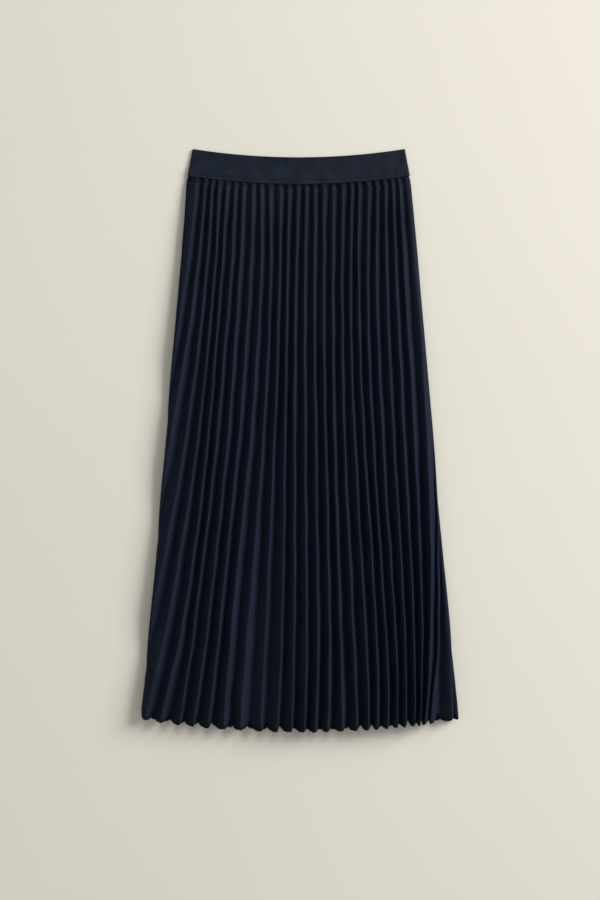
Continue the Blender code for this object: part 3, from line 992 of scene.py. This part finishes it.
def elastic():
    """Woven elastic: fine ribs, close cross threads, mottled shine, dark top edge, painted shade in groove and
    at sides.
    """
    woven = Shading("navy_elastic")
    cloth = woven.cloth_place()
    stretched = woven.node("ShaderNodeMapping", Vector=cloth, Scale=STREAK_STRETCH).outputs["Vector"]
    mottle = woven.maths("ADD", woven.noise(stretched, ELASTIC_STREAKS), woven.noise(cloth, ELASTIC_CLOUDS))
    # Darker along the upper edge, darker in the groove as painted shade, and paler below the groove
    edges_and_groove_shade = woven.tone_change(woven.attribute("rise"), ELASTIC_TONES)
    tone = woven.maths("MULTIPLY_ADD", edges_and_groove_shade, EDGE_AND_GROOVE_STRENGTH, mottle)
    # Painted shade down the band's sides
    tone = woven.maths("MULTIPLY_ADD", woven.attribute("side"), -SIDE_PAINTED_SHADE, tone)
    ribs = woven.threads(cloth, "Y", ELASTIC_RIB)
    weave = woven.maths("MULTIPLY_ADD", woven.threads(cloth, "X", ELASTIC_THREAD), THREAD_SHARE, ribs)
    woven.surface({
        "Base Color": woven.ramp(tone, ELASTIC_COLOURS),
        "Roughness": woven.maths("MULTIPLY_ADD", mottle, ELASTIC_ROUGH_SPREAD, ELASTIC_ROUGH_BASE),
        "Normal": woven.bump(weave, ELASTIC_RELIEF),
        "Sheen Weight": 0.02,
        "Specular IOR Level": 0.1,
    })
    return woven.material


def floor_material():
    """A pale matt floor with a slight grain."""
    pale = Shading("pale_floor")
    place = pale.object_place()
    pale.surface({
        "Base Color": pale.ramp(pale.noise(place, FLOOR_SHADE), FLOOR_COLOURS),
        "Normal": pale.bump(pale.noise(place, FLOOR_GRAIN), FLOOR_RELIEF),
        "Roughness": 0.9,
        "Specular IOR Level": 0.1,
    })
    return pale.material


# Stage, camera and light
def add_floor():
    mesh = bpy.data.meshes.new("floor")
    corners = [(-FLOOR_HALF, -FLOOR_HALF, 0), (FLOOR_HALF, -FLOOR_HALF, 0),
               (FLOOR_HALF, FLOOR_HALF, 0), (-FLOOR_HALF, FLOOR_HALF, 0)]
    mesh.from_pydata(corners, [], [(0, 1, 2, 3)])
    add_object("floor", mesh, floor_material())


def add_camera():
    data = bpy.data.cameras.new("camera")
    data.sensor_fit = "VERTICAL"
    data.sensor_height = CAMERA_SENSOR
    data.lens = CAMERA_LENS
    camera = bpy.data.objects.new("camera", data)
    camera.location = CAMERA_AT
    bpy.context.scene.collection.objects.link(camera)
    bpy.context.scene.camera = camera


def add_key_light():
    """A square soft light that faces the middle of the skirt."""
    data = bpy.data.lights.new("key", "AREA")
    data.size = KEY_SIZE
    data.energy = KEY_POWER
    data.color = KEY_COLOUR
    light = bpy.data.objects.new("key", data)
    light.location = KEY_AT
    light.rotation_euler = (-light.location).to_track_quat("-Z", "Y").to_euler()
    bpy.context.scene.collection.objects.link(light)


def add_fill_light():
    """The same weak light from all around."""
    world = bpy.data.worlds.new("soft_fill")
    world.use_nodes = True
    background = world.node_tree.nodes["Background"]
    background.inputs["Color"].default_value = (*FILL_COLOUR, 1.0)
    background.inputs["Strength"].default_value = FILL_STRENGTH
    bpy.context.scene.world = world


def main():
    bpy.context.scene.view_settings.view_transform = "Standard"
    add_camera()
    cloth = pleated_cloth()
    sewing = thread()
    front = add_panel("front_cloth", "skirt_front", 0, FRONT_PLEATS, False, FRONT_STEPS, FRONT_ROWS, cloth)
    back = add_panel("back_cloth", "skirt_back", FRONT_PLEATS, PLEATS, True, BACK_STEPS, BACK_ROWS, cloth)
    add_hem_stitches("front_hem_stitches", front, LIFT_ON_TOP, sewing)
    add_hem_stitches("back_hem_stitches", back, LIFT_UNDER, sewing)
    add_side_seam("left_side_seam", "left", sewing)
    add_side_seam("right_side_seam", "right", sewing)
    add_band(elastic())
    add_band_stitches(sewing)
    add_band_join(sewing)
    add_floor()
    add_key_light()
    add_fill_light()


main()
